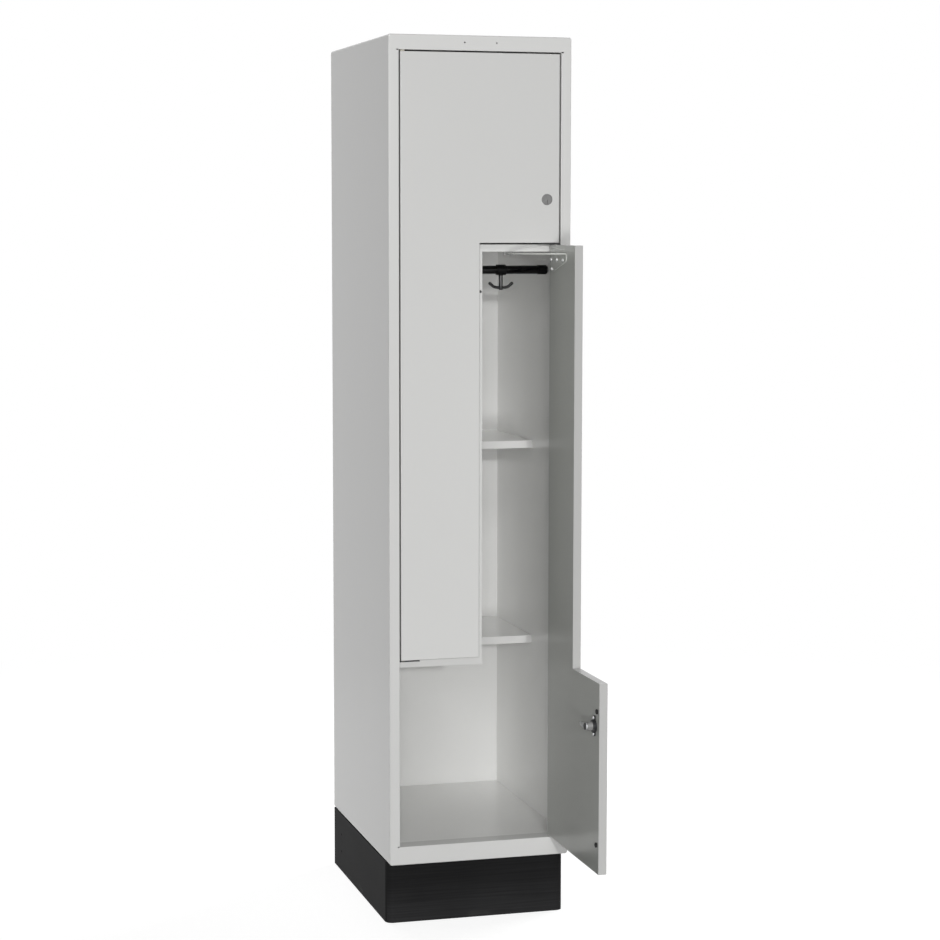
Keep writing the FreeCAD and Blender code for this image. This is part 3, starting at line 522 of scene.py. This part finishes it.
# where things are on the closed upper door; the lower door is the same, turned over and opened
doorPlaces = {
    "pivot": (168.5, -268.0), "middleHeight": 1021.5, "innerFace": -257.0, "outerFace": -275.0,
    "lock": (146.5, 1559.0),
}
outOfDoor = (0.0, 1.0, 0.0)  # from the door's inner face into the locker
acrossDoor = (1.0, 0.0, 0.0)
upwards = (0.0, 0.0, 1.0)


def onLowerDoor(points):
    # half a turn about the level line through the doors' middle, then a quarter turn about the lower pins
    pivotX, pivotY = doorPlaces["pivot"]
    x, y, z = points.T
    turnedX, turnedZ = -x, 2.0 * doorPlaces["middleHeight"] - z
    return np.stack([pivotX - (y - pivotY), pivotY + (turnedX - pivotX), turnedZ], axis=1)


def onBothDoors(name, shape, kind, slotName, bodyKind="door"):
    points, faces = shape
    for half, placed in (("upper", points), ("lower", onLowerDoor(points))):
        addPiece(half + name, (placed, faces), half + "_" + bodyKind, half + "_" + kind, slotName)


def roundedRim(radius, height, edge, count):
    # profile of a disc's edge: a quarter circle from the side onto the top
    turns = np.linspace(0.0, fullTurn / 4, count)
    return [(radius - edge + edge * math.cos(turn), height - edge + edge * math.sin(turn)) for turn in turns]


# pop rivets on the hinge gussets: a domed flange with the broken mandrel in its middle
rivetLook = {
    "places": ((-161.5, 611.3), (-121.5, 611.3), (-79.0, 611.3), (-156.0, 631.0)),
    "seat": -255.8, "sunk": -0.2,
    "radius": 3.6, "height": 2.15, "rim": 0.6, "hole": 1.15, "holeDepth": 0.75, "domePoints": 9, "steps": 40,
    "mandrel": 0.85, "mandrelTop": 0.68, "mandrelEdge": 0.25, "mandrelCrown": 0.3,
}


def rivetProfile(look):
    # flange rim, dome h = rim + (height - rim) * (1 - square of fromHole), hole wall, mandrel end
    reach = np.linspace(look["radius"], look["hole"], look["domePoints"])
    fromHole = (reach - look["hole"]) / look["radius"]
    dome = look["rim"] + (look["height"] - look["rim"]) * (1.0 - fromHole ** 2)
    floor = look["height"] - look["holeDepth"]
    profile = [(0.0, look["sunk"]), (look["radius"], look["sunk"])] + list(zip(reach, dome))
    profile += [(look["hole"], floor), (look["mandrel"], floor)]
    profile += [(look["mandrelTop"], floor + look["mandrelEdge"]), (0.0, floor + look["mandrelCrown"])]
    return profile


def popRivets(look):
    profile = rivetProfile(look)
    seats = [(x, look["seat"], z) for x, z in look["places"]]
    return joinedShape([turnedShape(profile, look["steps"], seat, outOfDoor, acrossDoor) for seat in seats])


def crownedTop(r, look):
    # h(r) of a screw's head: level, then a quarter circle down at the edge
    fromEdge = np.clip((r - look["radius"] + look["edge"]) / look["edge"], 0.0, 1.0)
    return look["height"] - look["edge"] * (1.0 - np.sqrt(1.0 - fromEdge ** 2))


def screwHead(r, angle, height, seat, look):
    # the top as rings of (r, height), closed by its side and its underside
    points = np.stack([r * np.cos(angle), height, r * np.sin(angle)], axis=-1) + np.array(seat)
    skirt = points[-1:].copy()
    skirt[..., 1] = seat[1] + look["sunk"]
    foot = np.broadcast_to(np.array(seat) + (0.0, look["sunk"], 0.0), skirt.shape)
    grid = np.concatenate([points, skirt, foot])
    return grid.reshape(-1, 3), quads(len(grid), look["steps"])


# pan-head screws of the lock's base, with a cross recess
screwLook = {
    "spacing": 34.0, "seat": -254.0, "sunk": -0.2, "radius": 3.4, "height": 1.8, "edge": 0.9,
    "slotWidth": 0.55, "slotEdge": 0.12, "slotReach": 1.9, "slotRamp": 0.7, "slotDepth": 1.15,
    "turns": (0.4, 1.1), "rings": 34, "steps": 96,
}


def panHead(look, seat, turn):
    # the crowned top, less a cross whose arms get shallower towards their ends
    r = np.linspace(0.0, look["radius"], look["rings"])[:, None]
    angle = ringAngles(look["steps"])[None, :]
    x, y = np.abs(r * np.cos(angle + turn)), np.abs(r * np.sin(angle + turn))
    across, along = np.minimum(x, y), np.maximum(x, y)
    inSlot = np.clip((look["slotWidth"] - across) / look["slotEdge"], 0.0, 1.0)
    depth = look["slotDepth"] * np.clip((look["slotReach"] - along) / look["slotRamp"], 0.0, 1.0)
    return screwHead(r, angle, crownedTop(r, look) - inSlot * depth, seat, look)


def lockScrews(look):
    lockX, lockZ = doorPlaces["lock"]
    levels = (lockZ - look["spacing"] / 2, lockZ + look["spacing"] / 2)
    heads = zip(levels, look["turns"])
    return joinedShape([panHead(look, (lockX, look["seat"], level), turn) for level, turn in heads])


# screw that holds the cam: a broad flat head with a sawn slot
camScrewLook = {
    "seat": -236.2, "sunk": -0.2, "radius": 7.2, "height": 2.0, "edge": 0.7,
    "slotWidth": 0.7, "slotEdge": 0.15, "slotDepth": 1.0, "slotTurn": 0.6, "rings": 60, "steps": 120,
}


def slottedHead(look):
    # the crowned top, less a straight slot across it
    lockX, lockZ = doorPlaces["lock"]
    r = np.linspace(0.0, look["radius"], look["rings"])[:, None]
    angle = ringAngles(look["steps"])[None, :]
    across = np.abs(r * np.sin(angle - look["slotTurn"]))
    inSlot = np.clip((look["slotWidth"] - across) / look["slotEdge"], 0.0, 1.0)
    height = crownedTop(r, look) - look["slotDepth"] * inSlot
    return screwHead(r, angle, height, (lockX, look["seat"], lockZ), look)


# rubber buffers: a button with a soft rim, a ring groove and a dished middle
buttonLook = {
    "sunk": -0.2, "edge": 1.1, "rimPoints": 8, "topPoints": 16, "steps": 48,
    "grooveAt": 0.72, "grooveWidth": 0.1, "grooveDepth": 0.35, "dishShare": 0.55, "dishDepth": 0.5,
}
doorButtonLook = {
    **buttonLook, "places": ((161.5, 1527.0), (161.5, 1805.0)), "face": doorPlaces["innerFace"],
    "axis": outOfDoor, "radius": 5.2, "height": 3.2,
}
postButtonLook = {
    **buttonLook, "places": ((-5.5, 679.0), (5.5, 1364.0)), "face": -253.5,
    "axis": (0.0, -1.0, 0.0), "radius": 2.9, "height": 3.0,
}


def buttonProfile(look):
    # rim quarter circle, then top(share) = height - bell-shaped groove near the rim - smooth dish inside
    share = np.linspace(1.0, 0.0, look["topPoints"])
    groove = look["grooveDepth"] * np.exp(-((share - look["grooveAt"]) / look["grooveWidth"]) ** 2)
    inward = np.clip(1.0 - share / look["dishShare"], 0.0, 1.0)
    dish = look["dishDepth"] * inward ** 2 * (3.0 - 2.0 * inward)
    top = look["height"] - groove - dish
    foot = [(0.0, look["sunk"]), (look["radius"], look["sunk"])]
    rim = roundedRim(look["radius"], look["height"], look["edge"], look["rimPoints"])
    return foot + rim + list(zip((look["radius"] - look["edge"]) * share, top))


def buttons(look):
    profile = buttonProfile(look)
    seats = [(x, look["face"], z) for x, z in look["places"]]
    steps, axis = look["steps"], look["axis"]
    return joinedShape([turnedShape(profile, steps, seat, axis, acrossDoor) for seat in seats])


# lock barrel: a rosette with two rings on the front, a thread behind the door
barrelLook = {
    "rosette": 11.8, "rosetteHeight": 2.0, "rosetteEdge": 1.1, "edgePoints": 9,
    "lipStart": 0.5, "lipEdge": 0.25, "seatRadius": 9.25, "seatDepth": 1.25,
    "bore": 6.55, "radius": 9.0, "length": 36.0, "steps": 96,
    "threadStart": 25.2, "threadEnd": 35.2, "threadRings": 130,
    "pitch": 1.25, "threadDepth": 0.4, "threadFade": 1.5,
}


def lockBarrel(look):
    # profile from the rosette's back over its face, down the seat and the bore, and back along the outside
    lockX, lockZ = doorPlaces["lock"]
    centre = (lockX, doorPlaces["outerFace"], lockZ)
    face = -look["rosetteHeight"]
    seatLevel = face + look["seatDepth"]
    barrelEnd = look["length"]
    rim = roundedRim(look["rosette"], look["rosetteHeight"], look["rosetteEdge"], look["edgePoints"])
    front = [(look["rosette"], 0.0)] + [(radius, -height) for radius, height in rim]
    front += [(look["rosette"] - look["rosetteEdge"] - look["lipStart"], face)]
    front += [(look["seatRadius"] + look["lipEdge"], face), (look["seatRadius"], face + look["lipEdge"])]
    front += [(look["seatRadius"], seatLevel), (look["bore"], seatLevel), (look["bore"], barrelEnd)]
    front += [(look["radius"] - look["threadDepth"], barrelEnd)]
    front += [(look["radius"], barrelEnd - look["threadDepth"]), (look["radius"], look["threadEnd"])]
    back = [(look["radius"], look["threadStart"]), (look["radius"], 0.0), (look["rosette"], 0.0)]
    first = turnedShape(front, look["steps"], centre, outOfDoor, acrossDoor)
    second = turnedShape(back, look["steps"], centre, outOfDoor, acrossDoor)
    return joinedShape([first, lockThread(look, centre), second])


def lockThread(look, centre):
    # helix r(angle, height) = radius - depth * triangle wave of (height / pitch - angle / full turn)
    angle = ringAngles(look["steps"])[None, :]
    height = np.linspace(look["threadStart"], look["threadEnd"], look["threadRings"])[:, None]
    phase = (height / look["pitch"] - angle / fullTurn) % 1.0
    wave = 1.0 - np.abs(2.0 * phase - 1.0)
    fromEnds = np.minimum(height - look["threadStart"], look["threadEnd"] - height) / look["pitch"]
    fade = np.clip(fromEnds * look["threadFade"], 0.0, 1.0)
    radius = look["radius"] - look["threadDepth"] * wave * fade
    level = np.broadcast_to(height, radius.shape)
    points = np.stack([radius * np.cos(angle), level, -radius * np.sin(angle)], axis=-1) + np.array(centre)
    return points.reshape(-1, 3), quads(look["threadRings"], look["steps"])


# double hooks: two arms that swell towards round tips, on a barrel-shaped hub
hookLook = {
    "middles": {"upper": (-93.0, 1843.0), "lower": (93.0, 1407.2)}, "depth": -111.0, "drop": 38.6,
    "flat": 8.0, "bend": 18.0, "turn": 42.0, "reach": 25.0, "stations": 60, "steps": 32, "capPoints": 12,
    "tip": 3.45, "waist": 3.05, "root": 3.3, "rootShare": 0.35, "sharpness": 50.0,
    "hubRadius": 5.2, "hubHeight": 6.6, "hubEdge": 1.0, "hubPoints": 7, "hubSteps": 48, "bore": 2.55,
}


def hookLine(look):
    # centre line by length: a level run, the circle of the bend and a straight run,
    # then the rings of the tip's half ball
    turn = math.radians(look["turn"])
    bendLength = look["bend"] * turn
    rest = (look["reach"] - look["flat"]) / math.cos(turn) - look["bend"] * math.tan(turn)
    total = look["flat"] + bendLength + rest
    length = np.linspace(0.0, total, look["stations"])
    tilt = np.clip((length - look["flat"]) / look["bend"], 0.0, turn)
    beyond = np.maximum(length - look["flat"] - bendLength, 0.0)
    x = np.minimum(length, look["flat"]) + look["bend"] * np.sin(tilt) + beyond * math.cos(turn)
    z = look["bend"] * (1.0 - np.cos(tilt)) + beyond * math.sin(turn)
    share = length / total
    swell = look["waist"] + (look["tip"] - look["waist"]) * share ** 2
    nearRoot = 1.0 - np.minimum(share / look["rootShare"], 1.0)
    radius = swell + (look["root"] - look["waist"]) * nearRoot ** 2
    cap = np.linspace(0.0, fullTurn / 4, look["capPoints"])[1:]
    x = np.concatenate([x, x[-1] + look["tip"] * np.sin(cap) * math.cos(turn)])
    z = np.concatenate([z, z[-1] + look["tip"] * np.sin(cap) * math.sin(turn)])
    tilt = np.concatenate([tilt, np.full(len(cap), turn)])
    radius = np.concatenate([radius, look["tip"] * np.cos(cap)])
    return x, z, tilt, radius


def hookArm(look, side):
    # round sections square to the centre line, closed at the root by one ring drawn to its middle
    x, z, tilt, radius = [values[:, None] for values in hookLine(look)]
    angle = ringAngles(look["steps"])[None, :]
    out, across = radius * np.cos(angle), radius * np.sin(angle)
    grid = np.stack([side * (x - out * np.sin(tilt)), across, z + out * np.cos(tilt)], axis=-1)
    root = np.broadcast_to(grid[:1].mean(axis=1, keepdims=True), grid[:1].shape)
    grid = np.concatenate([root, grid])
    return grid.reshape(-1, 3), quads(len(grid), look["steps"])


def hookHub(look):
    # a ring with rounded edges: from the bore over the top, down the side, under and up the bore again
    half = look["hubHeight"] / 2
    over = roundedRim(look["hubRadius"], half, look["hubEdge"], look["hubPoints"])
    under = [(radius, -height) for radius, height in over]
    profile = [(look["bore"], half)] + over[::-1] + under + [(look["bore"], -half), (look["bore"], half)]
    return turnedShape(profile, look["hubSteps"], (0.0, 0.0, 0.0), upwards, acrossDoor)


def doubleHooks(look):
    points, faces = joinedShape([hookArm(look, -1.0), hookArm(look, 1.0), hookHub(look)])
    for half, (middle, level) in look["middles"].items():
        placed = points + np.array((middle, look["depth"], level - look["drop"]))
        hook = half + "_hook"
        addPiece(half + "DoubleHook", (placed, faces), hook, hook, "black_plastic", look["sharpness"])


onBothDoors("PopRivets", popRivets(rivetLook), "gusset_rivets", "zinc_steel")
onBothDoors("LockScrews", lockScrews(screwLook), "lock_screws", "zinc_steel")
onBothDoors("CamScrew", slottedHead(camScrewLook), "cam_screw", "dark_metal", "lock_core")
onBothDoors("LockBarrel", lockBarrel(barrelLook), "lock_barrel", "lock_nickel")
onBothDoors("DoorButtons", buttons(doorButtonLook), "door_buffers", "black_rubber")
addPiece("postButtons", buttons(postButtonLook), "carcass", "divider_buffers", "black_rubber")
doubleHooks(hookLook)
print("stage: fittings made")


# floor: pale round the locker and pure white further off, lit by itself for the rays that show the background
white = (1.0, 1.0, 1.0)
black = (0.0, 0.0, 0.0)
floorLook = {
    "half": 30.0, "colour": (0.35, 0.35, 0.35), "rough": 0.9,
    "nearGlow": 0.85, "farGlow": 1.0, "nearRadius": 1.0, "farRadius": 3.2,
}


def paleFloor(look):
    half = look["half"]
    mesh = bpy.data.meshes.new("studioFloor")
    corners = [(-half, -half, 0), (half, -half, 0), (half, half, 0), (-half, half, 0)]
    mesh.from_pydata(corners, [], [(0, 1, 2, 3)])
    floor = bpy.data.objects.new("studioFloor", mesh)
    bpy.context.scene.collection.objects.link(floor)
    chalk = Finish("paleChalk", Roughness=look["rough"], Specular_IOR_Level=0.0, Emission_Strength=1.0)
    away = chalk.node("ShaderNodeVectorMath", {"operation": "LENGTH"}, {0: chalk.place}, "Value")
    far = chalk.span(away, look["nearRadius"], look["farRadius"])
    chalk.feed(Base_Color=chalk.blend(far, look["colour"], black))
    glow = chalk.span(away, look["nearRadius"], look["farRadius"], look["nearGlow"], look["farGlow"])
    chalk.feed(Emission_Color=chalk.scaled(white, glow * chalk.cameraShare()))
    mesh.materials.append(chalk.material)


# world: white behind the locker, and only a little light from all round
worldLook = {"ambient": 0.02, "background": 1.0}


def studioWorld(look):
    world = bpy.data.worlds.new("studioWorld")
    world.use_nodes = True
    bpy.context.scene.world = world
    sky = Nodes(world.node_tree)
    shell = sky.tree.nodes["Background"]
    shell.inputs["Color"].default_value = (*white, 1.0)
    strength = sky.cameraShare() * (look["background"] - look["ambient"]) + look["ambient"]
    sky.link(shell.inputs["Strength"], strength)


# each lamp: turn from the front (left is positive) and rise in degrees, how far it stands from lampAim,
# its width and height in metres, the light level it gives there, and whether it shows in gloss
lampAim = (0.0, 0.0, 1.0)
lamps = {
    "farKey": {"turn": 6.1, "rise": 11.0, "away": 60.0, "size": (1.6, 1.6), "level": 0.25, "shine": True},
    "lowFront": {"turn": 10.0, "rise": -6.0, "away": 6.0, "size": (1.6, 0.7), "level": 0.25, "shine": False},
    "lowShine": {"turn": 10.0, "rise": -6.0, "away": 6.0, "size": (2.6, 0.7), "level": 0.095, "shine": True},
    "leftFront": {"turn": 20.0, "rise": 9.0, "away": 6.0, "size": (1.0, 1.0), "level": 0.125, "shine": True},
    "highFront": {"turn": 10.0, "rise": 35.0, "away": 6.0, "size": (1.2, 1.2), "level": 0.116, "shine": True},
    "backLeft": {"turn": 125.0, "rise": 6.0, "away": 5.0, "size": (2.0, 2.5), "level": 0.135, "shine": False},
    "backRight": {
        "turn": -120.0, "rise": 15.0, "away": 5.0, "size": (2.5, 2.5), "level": 0.75, "shine": False,
    },
    "back": {"turn": 170.0, "rise": 12.0, "away": 5.0, "size": (2.5, 2.5), "level": 0.42, "shine": False},
}


def softbox(name, look):
    turn, rise = math.radians(look["turn"]), math.radians(look["rise"])
    toLamp = np.array((-math.sin(turn) * math.cos(rise), -math.cos(turn) * math.cos(rise), math.sin(rise)))
    lamp = bpy.data.lights.new(name, "AREA")
    lamp.shape = "RECTANGLE"
    lamp.size, lamp.size_y = look["size"]
    lamp.energy = look["level"] * math.pi ** 2 * look["away"] ** 2  # level = energy / (pi^2 distance^2)
    box = bpy.data.objects.new(name, lamp)
    box.location = np.array(lampAim) + toLamp * look["away"]
    box.rotation_euler = (math.pi / 2 - rise, 0.0, -turn)
    box.visible_camera = False
    box.visible_glossy = look["shine"]
    bpy.context.scene.collection.objects.link(box)


# the camera of the photograph: place in metres, turn to the right, dip and roll in radians,
# focal length in pixels
cameraLook = {
    "at": (-1.409987, -5.212200, 1.509093), "turn": 0.273934, "dip": 0.10175, "roll": 0.00118,
    "focalPixels": 2418.884, "framePixels": 940.0, "sensor": 36.0,
}


def photoCamera(look):
    lens = bpy.data.cameras.new("photoCamera")
    lens.sensor_width = look["sensor"]
    lens.lens = look["sensor"] * look["focalPixels"] / look["framePixels"]
    camera = bpy.data.objects.new("photoCamera", lens)
    camera.location = look["at"]
    camera.rotation_euler = (math.pi / 2 - look["dip"], 0.0, -look["turn"])
    camera.rotation_euler.rotate_axis("Z", look["roll"])
    bpy.context.scene.collection.objects.link(camera)
    bpy.context.scene.camera = camera


paleFloor(floorLook)
studioWorld(worldLook)
for lampName, lampLook in lamps.items():
    softbox(lampName, lampLook)
photoCamera(cameraLook)
bpy.context.scene.view_settings.view_transform = "Standard"
print("stage: floor, light and camera")
